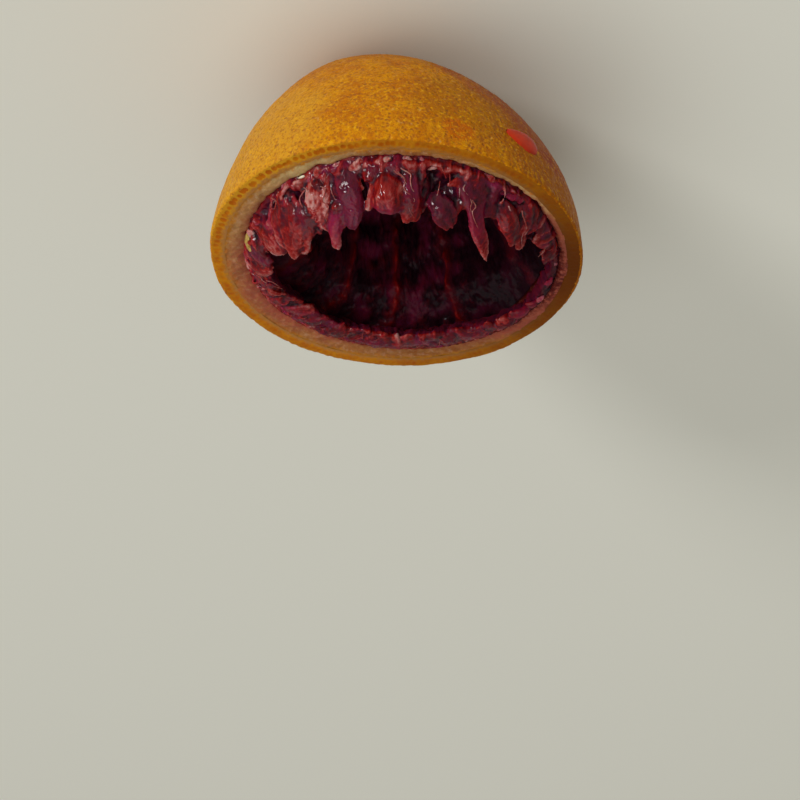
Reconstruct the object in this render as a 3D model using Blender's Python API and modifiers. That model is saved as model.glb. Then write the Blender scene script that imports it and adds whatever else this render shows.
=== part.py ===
"""Half a blood orange after juicing: a thick peel cup with a reamed hollow and torn pulp at its mouth.

It lies dome down on a small flat spot, with the cut side up. Metres, +Z up, origin at the middle of
the base. The front is -Y, where the longest pulp tongues stand. They lean inward over the hollow, as
the reamer left them.
"""
import math

import bmesh
import bpy
from mathutils import Vector, noise

# Driving dimensions of the fruit
RIM_RADIUS = 0.035
DOME_DEPTH = 0.0427
DOME_ROUNDNESS = 1.83
POLE_LEAN = 0.0074
POLE_LEAN_POWER = 3.0
REST_SPOT_DEPTH = 0.0019
CUT_HEIGHT = DOME_DEPTH - REST_SPOT_DEPTH

# The cut peel, and the flesh ring inside it
PEEL_WIDTH = 0.0058
PEEL_WIDTH_SWING = 0.0006
ZEST_ROUND = 0.0006
PITH_STEP = 0.0014
PITH_LIP = 0.0008
FLESH_CREST_RADIUS = 0.0245
FLESH_CREST_RISE = 0.0004
FLESH_CREST_WIDTH = 0.0026
FLESH_EASE = 0.0004
ZEST_INSET = 0.0022

# The hollow that the reamer leaves
SEGMENT_COUNT = 10
MOUTH_RADIUS = 0.0208
HOLLOW_FLOOR_RADIUS = 0.0060
HOLLOW_FLOOR_HEIGHT = 0.0080
HOLLOW_SWELL = 0.52
HOLLOW_DISH = 0.0004
HOLLOW_FIRST_STEP = 0.0010
HOLLOW_LAST_DROP = 0.0020
FLUTE_DEPTH = 0.0011
TEAR_DEPTH = 0.0016
TEAR_STARTS = 0.8
TEAR_COUNT = 17
UNEVENNESS = 0.00035
UNEVENNESS_PER_METRE = 60.0

# The stretch of the mouth, on the right, where the reamer has scoured the wall bare
SCOUR_TURN = math.radians(-102.0)
SCOUR_SPREAD = math.radians(30.0)
SCOUR_SHARE = 0.62
SCOUR_SINK = 0.0050
SCOUR_WALL = 0.0070

# How finely the fruit is divided
TURN_STEPS = 72
DOME_STEPS = 15
WALL_STEPS = 9

# Torn pulp tongues: turn round the mouth from the front, slope, length above the cut, half width
TONGUES = (
    ("lump_left_upper", 52, 56, 0.0098, 0.0052),
    ("lump_left_lower", 67, 56, 0.0080, 0.0040),
    ("membrane_pale", 34, 58, 0.0098, 0.0036),
    ("tail_magenta", 27, 58, 0.0126, 0.0028),
    ("body_wine", 19, 58, 0.0106, 0.0036),
    ("sac_bright", 4, 56, 0.0088, 0.0044),
    ("tongue_wrinkled", -7, 58, 0.0100, 0.0034),
    ("tongue_short", -20, 58, 0.0096, 0.0036),
    ("strand_root", -32, 56, 0.0090, 0.0040),
    ("strand_long", -42, 58, 0.0112, 0.0026),
    ("sacs_right", -54, 52, 0.0068, 0.0042),
    ("lobe_left", 84, 50, 0.0062, 0.0046),
    ("lobe_back_left", 112, 36, 0.0048, 0.0048),
    ("lobe_back", 148, 26, 0.0044, 0.0050),
    ("lobe_back_right", -164, 26, 0.0044, 0.0048),
)
TONGUE_ROOT_RADIUS = 0.0262
TONGUE_CURL = math.radians(8.0)
TONGUE_SEGMENTS = 10
TONGUE_RINGS = 8
TONGUE_ROOT_DEPTH = 0.0045
TONGUE_BLUNTNESS = 3.0
TONGUE_SWELL = 1.1
TONGUE_TAPER = 0.35
TONGUE_THICKNESS = 0.60
TONGUE_RIDGES = 3
TONGUE_RIDGE_DEPTH = 0.14


def clear_scene():
    for thing in list(bpy.data.objects):
        bpy.data.objects.remove(thing, do_unlink=True)


def make_collection(name):
    collection = bpy.data.collections.new(name)
    bpy.context.scene.collection.children.link(collection)
    return collection


def peel_material():
    """Waxy orange zest, which gives the part its main colour."""
    material = bpy.data.materials.new("orange_peel")
    material.use_nodes = True
    shader = material.node_tree.nodes["Principled BSDF"]
    shader.inputs["Base Color"].default_value = (0.60, 0.25, 0.015, 1.0)
    shader.inputs["Roughness"].default_value = 0.45
    shader.inputs["Metallic"].default_value = 0.0
    return material


def dome_radius(depth):
    """Outer radius at a depth below the cut: a slightly pointed superellipse."""
    share = min(max(depth / DOME_DEPTH, 0.0), 1.0)
    return RIM_RADIUS * (1.0 - share ** DOME_ROUNDNESS) ** (1.0 / DOME_ROUNDNESS)


def hollow_radius(height):
    """Radius of the reamed hollow, which opens from its floor to the mouth."""
    share = (height - HOLLOW_FLOOR_HEIGHT) / (CUT_HEIGHT - HOLLOW_FLOOR_HEIGHT)
    return HOLLOW_FLOOR_RADIUS + (MOUTH_RADIUS - HOLLOW_FLOOR_RADIUS) * max(share, 0.0) ** HOLLOW_SWELL


def section_points():
    """The half section as (radius, height), from the hollow's floor over the rim and down the dome."""
    pith_radius = RIM_RADIUS - PEEL_WIDTH
    points = [(0.0, HOLLOW_FLOOR_HEIGHT - HOLLOW_DISH), (HOLLOW_FLOOR_RADIUS * 0.6, HOLLOW_FLOOR_HEIGHT)]
    first = HOLLOW_FLOOR_HEIGHT + HOLLOW_FIRST_STEP
    last = CUT_HEIGHT - HOLLOW_LAST_DROP
    for step in range(WALL_STEPS + 1):
        height = first + (last - first) * step / WALL_STEPS
        points.append((hollow_radius(height), height))
    points.append((0.5 * (MOUTH_RADIUS + FLESH_CREST_RADIUS), CUT_HEIGHT - FLESH_EASE))
    points.append((FLESH_CREST_RADIUS, CUT_HEIGHT + FLESH_CREST_RISE))
    points.append((FLESH_CREST_RADIUS + FLESH_CREST_WIDTH, CUT_HEIGHT - 0.5 * FLESH_EASE))
    points.append((pith_radius - PITH_LIP, CUT_HEIGHT - PITH_STEP))
    points.append((pith_radius, CUT_HEIGHT - FLESH_EASE))
    points.append((pith_radius + PITH_LIP, CUT_HEIGHT))
    points.append((RIM_RADIUS - ZEST_INSET, CUT_HEIGHT))
    points.append((RIM_RADIUS - ZEST_ROUND, CUT_HEIGHT))
    points.append((RIM_RADIUS - 0.3 * ZEST_ROUND, CUT_HEIGHT - 0.3 * ZEST_ROUND))
    for step in range(DOME_STEPS + 1):
        share = step / DOME_STEPS
        depth = ZEST_ROUND + (CUT_HEIGHT - ZEST_ROUND) * math.sin(0.5 * math.pi * share)
        points.append((dome_radius(depth), CUT_HEIGHT - depth))
    points.append((0.0, 0.0))
    return points


def turned_object(name, points, collection):
    """Turn an open half section about Z into a closed solid."""
    mesh = bpy.data.meshes.new(name)
    edges = [(index, index + 1) for index in range(len(points) - 1)]
    mesh.from_pydata([(radius, 0.0, height) for radius, height in points], edges, [])
    turned = bpy.data.objects.new(name, mesh)
    collection.objects.link(turned)
    screw = turned.modifiers.new("turn", "SCREW")
    screw.axis = "Z"
    screw.angle = 2.0 * math.pi
    screw.steps = TURN_STEPS
    screw.render_steps = TURN_STEPS
    screw.use_merge_vertices = True
    screw.merge_threshold = 0.00002
    screw.use_smooth_shade = True
    return turned


def made_real(source, collection):
    """Replace an object by its evaluated mesh, with the modifiers taken up."""
    depsgraph = bpy.context.evaluated_depsgraph_get()
    mesh = bpy.data.meshes.new_from_object(source.evaluated_get(depsgraph))
    name = source.name
    bpy.data.objects.remove(source, do_unlink=True)
    mesh.name = name
    real = bpy.data.objects.new(name, mesh)
    collection.objects.link(real)
    return real


def torn_place(turn, radius, height):
    """Where a point of the plain section lies once the flesh is fluted, torn and scoured."""
    up_the_wall = min(max((height - HOLLOW_FLOOR_HEIGHT) / (CUT_HEIGHT - HOLLOW_FLOOR_HEIGHT), 0.0), 1.0)
    near_mouth = max(0.0, up_the_wall - TEAR_STARTS) / (1.0 - TEAR_STARTS)
    flute = math.cos(SEGMENT_COUNT * turn + 0.6 * math.sin(2.0 * turn))
    radius += FLUTE_DEPTH * flute * math.sin(0.5 * math.pi * up_the_wall)
    torn = 0.6 * math.sin(SEGMENT_COUNT * turn + 1.1) + 0.4 * math.sin(TEAR_COUNT * turn + 0.4)
    height += TEAR_DEPTH * (0.55 * torn - 0.35) * near_mouth
    aside = (turn - SCOUR_TURN + math.pi) % (2.0 * math.pi) - math.pi
    scoured = math.exp(-((aside / SCOUR_SPREAD) ** 2)) * math.sin(0.5 * math.pi * up_the_wall)
    radius += SCOUR_SHARE * scoured * max(0.0, RIM_RADIUS - SCOUR_WALL - radius)
    height -= SCOUR_SINK * scoured * near_mouth
    return radius, height


def is_peel(radius, height):
    """True on the skin, the cut peel and the rest spot, which the tearing leaves alone."""
    cut_peel = radius > RIM_RADIUS - PEEL_WIDTH - 0.0002 and height > CUT_HEIGHT - 0.001
    skin = radius > dome_radius(CUT_HEIGHT - height) - 0.0004 or height < 0.0002
    return cut_peel or skin


def make_uneven(mesh):
    """Tear and flute the flesh, vary the peel's width, lean the pole and roughen the dome's round."""
    for vertex in mesh.vertices:
        position = vertex.co
        radius = math.hypot(position.x, position.y)
        turn = math.atan2(position.x, -position.y)
        height = position.z
        if radius > 1e-6 and not is_peel(radius, height):
            radius, height = torn_place(turn, radius, height)
        inner_edge = RIM_RADIUS - PEEL_WIDTH
        if inner_edge - 0.001 < radius < inner_edge + 0.001 and height > CUT_HEIGHT - 0.002:
            radius += PEEL_WIDTH_SWING * math.cos(2.0 * turn)
        depth_share = max(0.0, (CUT_HEIGHT - height) / DOME_DEPTH)
        swell = 1.0 + UNEVENNESS / RIM_RADIUS * noise.noise(position * UNEVENNESS_PER_METRE)
        lean = POLE_LEAN * depth_share ** POLE_LEAN_POWER
        vertex.co = (radius * swell * math.sin(turn) + lean, -radius * swell * math.cos(turn), height)


def tongue_frame(turn_degrees):
    """Place on the cut that a tongue passes through, and its outward and sideways directions."""
    turn = math.radians(turn_degrees)
    outward = Vector((math.sin(turn), -math.cos(turn), 0.0))
    sideways = Vector((math.cos(turn), math.sin(turn), 0.0))
    passing = outward * TONGUE_ROOT_RADIUS + Vector((0.0, 0.0, CUT_HEIGHT))
    return passing, outward, sideways


def bend_tongue(mesh, tongue):
    """Draw a unit ball out into a tapered, ridged tongue that leans in over the hollow."""
    name, turn_degrees, slope_degrees, length, half_width = tongue
    passing, outward, sideways = tongue_frame(turn_degrees)
    for vertex in mesh.vertices:
        along = 0.5 * (vertex.co.z + 1.0)
        round_turn = math.atan2(vertex.co.y, vertex.co.x)
        ridge = 1.0 + TONGUE_RIDGE_DEPTH * math.cos(TONGUE_RIDGES * round_turn + turn_degrees)
        blunt = (1.0 - abs(vertex.co.z) ** TONGUE_BLUNTNESS) ** 0.5
        spread = blunt * half_width * ridge * (TONGUE_SWELL - TONGUE_TAPER * along)
        slope = math.radians(slope_degrees) - TONGUE_CURL * (along - 0.5)
        way = Vector((0.0, 0.0, math.sin(slope))) - outward * math.cos(slope)
        thick = way.cross(sideways).normalized()
        centre = passing + way * ((length + TONGUE_ROOT_DEPTH) * along - TONGUE_ROOT_DEPTH)
        across = sideways * (spread * math.cos(round_turn))
        through = thick * (spread * TONGUE_THICKNESS * math.sin(round_turn))
        vertex.co = centre + across + through


def make_tongue(tongue, collection):
    """One torn tongue of pulp, as a closed solid that is joined to the flesh."""
    mesh = bpy.data.meshes.new(tongue[0])
    body = bmesh.new()
    bmesh.ops.create_uvsphere(body, u_segments=TONGUE_SEGMENTS, v_segments=TONGUE_RINGS, radius=1.0)
    body.to_mesh(mesh)
    body.free()
    bend_tongue(mesh, tongue)
    solid = bpy.data.objects.new(tongue[0], mesh)
    solid.hide_render = True
    solid.display_type = "WIRE"
    collection.objects.link(solid)
    face_outwards(mesh)
    return solid


def face_outwards(mesh):
    body = bmesh.new()
    body.from_mesh(mesh)
    bmesh.ops.recalc_face_normals(body, faces=body.faces)
    body.to_mesh(mesh)
    body.free()


def join_tongues(half, tongues):
    """Grow the tongues into the flesh, so that the half stays one solid."""
    for tongue in tongues:
        union = half.modifiers.new(tongue.name, "BOOLEAN")
        union.operation = "UNION"
        union.solver = "EXACT"
        union.object = tongue


def centre_on_origin(mesh):
    """Bring the middle of the outline to the origin, with the rest spot at height 0."""
    across = [vertex.co.x for vertex in mesh.vertices]
    along = [vertex.co.y for vertex in mesh.vertices]
    shift = Vector((0.5 * (min(across) + max(across)), 0.5 * (min(along) + max(along)), 0.0))
    for vertex in mesh.vertices:
        vertex.co -= shift


def build():
    clear_scene()
    fruit = make_collection("blood_orange_half")
    joined_pieces = make_collection("joined_pieces")
    half = turned_object("blood_orange_half", section_points(), fruit)
    half = made_real(half, fruit)
    make_uneven(half.data)
    face_outwards(half.data)
    centre_on_origin(half.data)
    half.data.materials.append(peel_material())
    tongues = [make_tongue(tongue, joined_pieces) for tongue in TONGUES]
    join_tongues(half, tongues)
    half.data.shade_smooth()
    half.data.set_sharp_from_angle(angle=math.radians(50.0))


build()
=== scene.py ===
import math
import random

import bpy
import numpy as np
from mathutils import Matrix, Vector, kdtree, noise


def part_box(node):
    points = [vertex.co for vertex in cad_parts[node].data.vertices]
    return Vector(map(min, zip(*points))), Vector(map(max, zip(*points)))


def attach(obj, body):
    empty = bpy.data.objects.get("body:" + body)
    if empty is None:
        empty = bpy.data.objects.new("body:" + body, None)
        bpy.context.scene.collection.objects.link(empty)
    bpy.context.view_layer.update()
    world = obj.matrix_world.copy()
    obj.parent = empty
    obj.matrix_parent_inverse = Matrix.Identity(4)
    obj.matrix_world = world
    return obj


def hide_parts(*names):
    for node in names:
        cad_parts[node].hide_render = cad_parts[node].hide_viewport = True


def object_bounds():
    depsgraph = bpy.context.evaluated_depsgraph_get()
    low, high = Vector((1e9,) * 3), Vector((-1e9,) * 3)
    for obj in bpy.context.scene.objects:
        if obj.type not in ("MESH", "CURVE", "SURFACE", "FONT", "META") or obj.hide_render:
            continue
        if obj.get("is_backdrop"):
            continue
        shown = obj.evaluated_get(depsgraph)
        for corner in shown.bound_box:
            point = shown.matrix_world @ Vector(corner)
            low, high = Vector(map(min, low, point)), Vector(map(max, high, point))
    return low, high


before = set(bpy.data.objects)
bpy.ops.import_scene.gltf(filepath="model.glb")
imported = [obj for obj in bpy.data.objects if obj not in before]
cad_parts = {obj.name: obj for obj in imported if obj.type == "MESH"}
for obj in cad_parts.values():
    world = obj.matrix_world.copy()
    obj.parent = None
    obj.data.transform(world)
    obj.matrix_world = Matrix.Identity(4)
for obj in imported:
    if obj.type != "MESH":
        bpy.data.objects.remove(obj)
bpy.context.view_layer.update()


# Peel skin. The waxy outside of the fruit, from the flat spot it rests on up to the knife cut. It is
# pitted by the oil glands under it, and leans a little to one side at the pole.
HALF = "blood_orange_half"
MM = 0.001
# the rim's radius and the height of the cut come from the solid, and the dome would end at this depth
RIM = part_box(HALF)[1].x - 0.1 * MM
corners = [corner.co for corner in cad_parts[HALF].data.vertices]
CUT = max(corner.z for corner in corners if corner.xy.length > 0.96 * RIM)
DEPTH = 42.7 * MM
ROUNDNESS = 1.83
LEAN = 7.4 * MM


def dome_radius(depth):
    """Outside radius of the fruit at a depth below the cut."""
    share = np.clip(depth / DEPTH, 0.0, 1.0)
    return RIM * (1.0 - share ** ROUNDNESS) ** (1.0 / ROUNDNESS)


def ring_points(turns, radii, heights):
    """Rows of points round the fruit. A turn of 0 is the front, -Y, and +90 degrees is +X."""
    radii, turns, heights = np.broadcast_arrays(radii, turns, heights)
    lean = LEAN * np.clip((CUT - heights) / DEPTH, 0.0, 1.0) ** 3
    return np.stack([radii * np.sin(turns) + lean, -radii * np.cos(turns), heights], axis=-1)


def sampled(function, points):
    """A noise function's value at each point of an array of points."""
    return np.array([function(Vector(spot)) for spot in points.reshape(-1, 3)]).reshape(points.shape[:-1])


def grain(size, seed=0.0):
    """Smooth noise from -1 to 1, whose lumps are about that size across."""
    return lambda spot: noise.noise(spot / size + Vector((seed, seed * 1.7, -seed)))


PIT_REACH = 0.55


def pits(size, seed=0.0):
    """1 in the middle of each pit and 0 between them, with pits about that far apart."""
    def depth(spot):
        nearest = noise.voronoi(spot / size + Vector((seed, 0.3, seed)))[0][0]
        return max(0.0, 1.0 - nearest / PIT_REACH)
    return depth


def sheet_object(name, points):
    """A smooth mesh over rows of points that run right round."""
    rows, columns = points.shape[:2]
    row, column = np.meshgrid(np.arange(rows - 1), np.arange(columns), indexing="ij")
    beside, after = (column + 1) % columns, row + 1
    corners = [row * columns + column, row * columns + beside]
    corners += [after * columns + beside, after * columns + column]
    mesh = bpy.data.meshes.new(name)
    mesh.from_pydata(points.reshape(-1, 3).tolist(), [], np.stack(corners, -1).reshape(-1, 4).tolist())
    mesh.shade_smooth()
    piece = bpy.data.objects.new(name, mesh)
    bpy.context.scene.collection.objects.link(piece)
    return piece


def paint(piece, name, values):
    """Store one number for each point of the mesh, which a material can read by that name."""
    layer = piece.data.attributes.new(name, "FLOAT", "POINT")
    layer.data.foreach_set("value", np.asarray(values, dtype=np.float32).ravel())


def add_to_half(piece):
    """Let a piece lie with the half and stand in for its solid."""
    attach(piece, "root")
    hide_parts(HALF)


def new_material(name):
    """A material, its Principled shader, and a short way to add a node with its settings."""
    material = bpy.data.materials.new(name)
    material.use_nodes = True
    tree = material.node_tree
    shader = tree.nodes["Principled BSDF"]

    def node(kind, **settings):
        made = tree.nodes.new(kind)
        for key, value in settings.items():
            if hasattr(made, key):
                setattr(made, key, value)
            else:
                made.inputs[key.replace("_", " ").title()].default_value = value
        return made

    return material, shader, node


def join(output, socket):
    """Feed what one node puts out into a socket of another."""
    socket.id_data.links.new(output, socket)


def place(node):
    """Where a point is on the fruit, in metres."""
    return node("ShaderNodeTexCoord").outputs["Object"]


def mottling(node, size, detail=2.0, roughness=0.5, stretch=None):
    """Noise from 0 to 1 whose lumps are about that size across."""
    texture = node("ShaderNodeTexNoise", scale=1.0 / size, detail=detail, roughness=roughness)
    spot = place(node)
    if stretch:
        mapping = node("ShaderNodeMapping", scale=stretch)
        join(spot, mapping.inputs["Vector"])
        spot = mapping.outputs["Vector"]
    join(spot, texture.inputs["Vector"])
    return texture.outputs["Fac"]


def painted(node, name):
    """The numbers stored on the points of the mesh under a name."""
    return node("ShaderNodeAttribute", attribute_name=name).outputs["Fac"]


def eased(node, value, low, high, to_low=0.0, to_high=1.0):
    """Spread a value between low and high over a new range, with soft ends."""
    spread = node("ShaderNodeMapRange", interpolation_type="SMOOTHSTEP")
    for socket, number in (("From Min", low), ("From Max", high), ("To Min", to_low), ("To Max", to_high)):
        spread.inputs[socket].default_value = number
    join(value, spread.inputs["Value"])
    return spread.outputs["Result"]


def mixed(node, share, first, second):
    """A colour between two, each a colour or the output of a node, by a share that a node puts out."""
    mix = node("ShaderNodeMix", data_type="RGBA")
    for socket, value in ((0, share), (6, first), (7, second)):
        if isinstance(value, tuple):
            mix.inputs[socket].default_value = (*value, 1.0)
        else:
            join(value, mix.inputs[socket])
    return mix.outputs[2]


def combined(node, first, second, operation="MULTIPLY"):
    """An output multiplied by a number or another output, or added to it."""
    result = node("ShaderNodeMath", operation=operation)
    join(first, result.inputs[0])
    if isinstance(second, float):
        result.inputs[1].default_value = second
    else:
        join(second, result.inputs[1])
    return result.outputs[0]


def bumped(node, shader, height, depth):
    """Raise the surface by a pattern, on top of any bump it has already."""
    bump = node("ShaderNodeBump")
    bump.inputs["Strength"].default_value = 1.0
    bump.inputs["Distance"].default_value = depth
    if shader.inputs["Normal"].is_linked:
        join(shader.inputs["Normal"].links[0].from_socket, bump.inputs["Normal"])
    join(height, bump.inputs["Height"])
    join(bump.outputs["Normal"], shader.inputs["Normal"])


def lit_through(shader, shine, share, spread, reach):
    """Set how a surface shines, and the share, colour and reach of the light that spreads inside it."""
    shader.inputs["Specular IOR Level"].default_value = shine
    shader.inputs["Subsurface Weight"].default_value = share
    shader.inputs["Subsurface Radius"].default_value = spread
    shader.inputs["Subsurface Scale"].default_value = reach


def patch_at(node, centre, radius, fade):
    """1 inside a ball round a place on the fruit, fading to 0 past it."""
    away = node("ShaderNodeVectorMath", operation="DISTANCE")
    away.inputs[1].default_value = centre
    join(place(node), away.inputs[0])
    return eased(node, away.outputs["Value"], radius + fade, radius)


def skin_material():
    """Waxy yellow-orange with brown gland dots, pale flecks and scars, painted shade on the -X side, and
    painted light at the +X front.
    """
    material, shader, node = new_material("peel_skin")
    lumps = eased(node, mottling(node, 5 * MM, 3.0), 0.40, 0.66)
    colour = mixed(node, lumps, (0.62, 0.245, 0.002), (0.50, 0.155, 0.001))
    mottled = eased(node, mottling(node, 1.7 * MM, 4.0, 0.7), 0.44, 0.62, 0.0, 0.65)
    colour = mixed(node, mottled, colour, (0.43, 0.125, 0.002))
    # middle of each patch, its radius and fade, how strong it is, and its colour
    patches = (
        ((LEAN, 0.0, 0.0), 12.0, 22.0, 0.60, (0.40, 0.135, 0.006)),
        # painted shade: a darker, redder patch over the -X side, which faces away from the key
        ((-36 * MM, -8 * MM, CUT - 12 * MM), 8.0, 32.0, 0.90, (0.37, 0.098, 0.001)),
        ((-11 * MM, -31 * MM, CUT - 13 * MM), 3.0, 10.0, 0.55, (0.36, 0.130, 0.001)),
        ((-10 * MM, -33 * MM, CUT - 4.5 * MM), 0.8, 3.5, 0.70, (0.52, 0.105, 0.001)),
        ((-27 * MM, -14 * MM, CUT - 22 * MM), 10.0, 9.0, 0.85, (0.33, 0.060, 0.020)),
        ((-16 * MM, -20 * MM, CUT - 27 * MM), 6.0, 8.0, 0.70, (0.33, 0.065, 0.020)),
        ((-27.5 * MM, -19.8 * MM, CUT - 9.5 * MM), 0.8, 3.0, 0.85, (0.30, 0.032, 0.010)),
        # painted light: a paler, yellower patch at the +X front, where the key falls
        ((30 * MM, -20 * MM, CUT - 7 * MM), 8.0, 18.0, 0.70, (0.62, 0.305, 0.020)),
    )
    uneven = mottling(node, 3.5 * MM, 4.0, 0.6)
    for centre, radius, fade, strength, tint in patches:
        near = patch_at(node, centre, radius * MM, fade * MM)
        near = eased(node, combined(node, near, uneven, "ADD"), 0.55, 1.15, 0.0, strength)
        colour = mixed(node, near, colour, tint)
    flecks = eased(node, mottling(node, 0.7 * MM, 4.0, 0.65), 0.50, 0.68, 0.0, 0.70)
    colour = mixed(node, flecks, colour, (0.76, 0.37, 0.008))
    fine = eased(node, mottling(node, 0.55 * MM, 4.0, 0.75), 0.53, 0.34, 0.0, 0.75)
    colour = mixed(node, fine, colour, (0.33, 0.090, 0.010))
    # the oil glands are dots whose places wander by up to half a millimetre
    warp = node("ShaderNodeVectorMath", operation="MULTIPLY_ADD")
    warp.inputs[1].default_value = (0.5 * MM, 0.5 * MM, 0.5 * MM)
    wander = node("ShaderNodeTexNoise", scale=1.0 / (0.8 * MM), detail=2.0)
    spot = place(node)
    join(spot, wander.inputs["Vector"])
    join(wander.outputs["Color"], warp.inputs[0])
    join(spot, warp.inputs[2])
    glands = node("ShaderNodeTexVoronoi", scale=1.0 / (0.95 * MM), randomness=1.0)
    join(warp.outputs["Vector"], glands.inputs["Vector"])
    pore = eased(node, glands.outputs["Distance"], 0.40, 0.12)
    some = eased(node, mottling(node, 2.2 * MM, 2.0), 0.36, 0.60, 0.20, 0.70)
    colour = mixed(node, combined(node, pore, some), colour, (0.30, 0.090, 0.018))
    scars = eased(node, mottling(node, 1.3 * MM, 1.0), 0.70, 0.78, 0.0, 0.6)
    colour = mixed(node, scars, colour, (0.60, 0.30, 0.07))
    join(colour, shader.inputs["Base Color"])
    gloss = eased(node, mottling(node, 1.2 * MM, 3.0), 0.3, 0.7, 0.36, 0.56)
    join(gloss, shader.inputs["Roughness"])
    lit_through(shader, 0.05, 0.08, (1.0, 0.35, 0.08), 0.6 * MM)
    bumped(node, shader, eased(node, glands.outputs["Distance"], 0.05, 0.50), 0.12 * MM)
    bumped(node, shader, mottling(node, 0.55 * MM, 3.0, 0.6), 0.18 * MM)
    return material


def all_round(columns):
    """The turns of so many columns of points, right round the fruit."""
    return np.linspace(0.0, 2.0 * math.pi, columns, endpoint=False)[None, :]


SKIN_ROWS, SKIN_COLUMNS = 138, 640
PIT_SPACING, PIT_DEPTH = 1.25 * MM, 0.17 * MM
EDGE_ROUNDING = 0.5 * MM
REST_SPOT_ROWS = np.array([0.02, 0.35, 0.7, 0.93])
down = np.sin(0.5 * math.pi * np.linspace(1.0, 0.0, SKIN_ROWS)) * (CUT - EDGE_ROUNDING) + EDGE_ROUNDING
skin_radii, skin_heights = dome_radius(down), CUT - down
# the skin rounds over the rim in three steps, each a distance in from the rim and down from the cut
over_rim = MM * np.array([(0.12, 0.20), (0.42, 0.03), (0.85, 0.06)])
skin_radii = np.concatenate([REST_SPOT_ROWS * skin_radii[0], skin_radii, RIM - over_rim[:, 0]])
skin_heights = np.concatenate([0.0 * REST_SPOT_ROWS, skin_heights, CUT - over_rim[:, 1]])
points = ring_points(all_round(SKIN_COLUMNS), skin_radii[:, None], skin_heights[:, None])
middle = np.array([0.0, 0.0, 0.45 * CUT])
outward = (points - middle) / np.linalg.norm(points - middle, axis=-1, keepdims=True)
relief = -PIT_DEPTH * sampled(pits(PIT_SPACING), points) + 0.05 * MM * sampled(grain(0.9 * MM), points)
relief += 0.28 * MM * sampled(grain(14 * MM, 3.0), points) + 0.10 * MM * sampled(grain(4 * MM, 5.0), points)
# the rest spot stays flat and the rim stays clean
free = np.clip(skin_heights / (1.2 * MM), 0.0, 1.0) * np.where(skin_heights > CUT - 0.1 * MM, 0.0, 1.0)
skin = sheet_object("peel_skin", points + outward * (relief * free[:, None])[..., None])
skin.data.materials.append(skin_material())
add_to_half(skin)


# Cut zest. The coloured outer layer of the peel where the knife went through it: a ring of amber
# flesh, with the cut oil glands as small oval cups and paler walls between them, plainest at the front
# on the +X side. Round the -X side painted shade darkens it.
ZEST_WIDTH = 2.7 * MM
GLAND_PITCH, GLAND_DEPTH = 1.35 * MM, 0.14 * MM


def turned_from(turns, middle):
    """How far each turn is from a middle one, the short way round."""
    return (turns - middle + math.pi) % (2.0 * math.pi) - math.pi


def near_turn(turns, degrees, spread):
    """1 at so many degrees from the front, falling away to either side over the spread in degrees."""
    return np.exp(-(turned_from(turns, math.radians(degrees)) / math.radians(spread)) ** 2)


def zest_material():
    """Wet amber, reddened in patches, with yellow walls between the glands, tan at its inner edge, and
    painted shade round the -X side.
    """
    material, shader, node = new_material("cut_zest")
    gland = painted(node, "gland")
    patchy = mottling(node, 3.5 * MM, 3.0)
    amber = mixed(node, eased(node, patchy, 0.35, 0.65), (0.52, 0.165, 0.002), (0.42, 0.100, 0.002))
    reddened = eased(node, mottling(node, 1.6 * MM, 4.0, 0.65), 0.50, 0.68, 0.0, 0.7)
    amber = mixed(node, reddened, amber, (0.40, 0.075, 0.004))
    wall = combined(node, eased(node, gland, 0.30, 0.0, 0.0, 0.8), painted(node, "yellow"))
    colour = mixed(node, wall, amber, (0.62, 0.31, 0.015))
    colour = mixed(node, combined(node, gland, 0.5), colour, (0.45, 0.115, 0.002))
    uneven = eased(node, mottling(node, 0.9 * MM, 3.0), 0.3, 0.7, -0.25, 0.25)
    ragged = combined(node, painted(node, "inner"), uneven, "ADD")
    colour = mixed(node, eased(node, ragged, 0.15, 0.95), colour, (0.42, 0.180, 0.045))
    # painted shade: the cut goes dark round the -X side, which faces away from the key
    colour = mixed(node, painted(node, "deep"), colour, (0.13, 0.030, 0.001))
    join(colour, shader.inputs["Base Color"])
    shader.inputs["Roughness"].default_value = 0.40
    lit_through(shader, 0.06, 0.25, (1.0, 0.4, 0.08), 1.5 * MM)
    bumped(node, shader, mottling(node, 0.35 * MM, 3.0), 0.05 * MM)
    return material


ZEST_ROWS, ZEST_COLUMNS = 15, 1100
draw = random.Random(11)
turns = all_round(ZEST_COLUMNS)
inward = np.linspace(0.0, 1.0, ZEST_ROWS)[:, None]
gland = np.zeros((ZEST_ROWS, ZEST_COLUMNS))
gland_count = int(2.0 * math.pi * RIM / GLAND_PITCH)
for index in range(gland_count):
    middle_turn = 2.0 * math.pi * (index + draw.uniform(-0.25, 0.25)) / gland_count
    middle_inward = draw.uniform(0.30, 0.46)
    half_turn = draw.uniform(0.38, 0.52) * GLAND_PITCH / RIM
    half_inward = draw.uniform(0.20, 0.32)
    aside = turned_from(turns, middle_turn)
    cup = 1.0 - (aside / half_turn) ** 2 - ((inward - middle_inward) / half_inward) ** 2
    gland = np.maximum(gland, np.clip(cup, 0.0, 1.0) ** 0.7 * draw.uniform(0.5, 1.0))
radii = RIM - 0.4 * MM - inward * (ZEST_WIDTH - 0.2 * MM)
plain = 0.25 + 0.75 * near_turn(turns, 46.0, 34.0)
gland = gland * plain
heights = CUT - 0.03 * MM - GLAND_DEPTH * gland + 0.06 * MM * np.sin(math.pi * inward)
points = ring_points(turns, radii, heights)
points[..., 2] += 0.05 * MM * sampled(grain(0.8 * MM), points)
zest = sheet_object("cut_zest", points)
paint(zest, "gland", gland)
paint(zest, "yellow", plain + 0.0 * inward)
# painted shade: how far the cut is darkened round the -X side
paint(zest, "deep", near_turn(turns, -92.0, 60.0) + 0.0 * inward)
paint(zest, "inner", np.clip((inward - 0.45) / 0.55, 0.0, 1.0) + 0.0 * turns)
zest.data.materials.append(zest_material())
add_to_half(zest)
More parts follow.
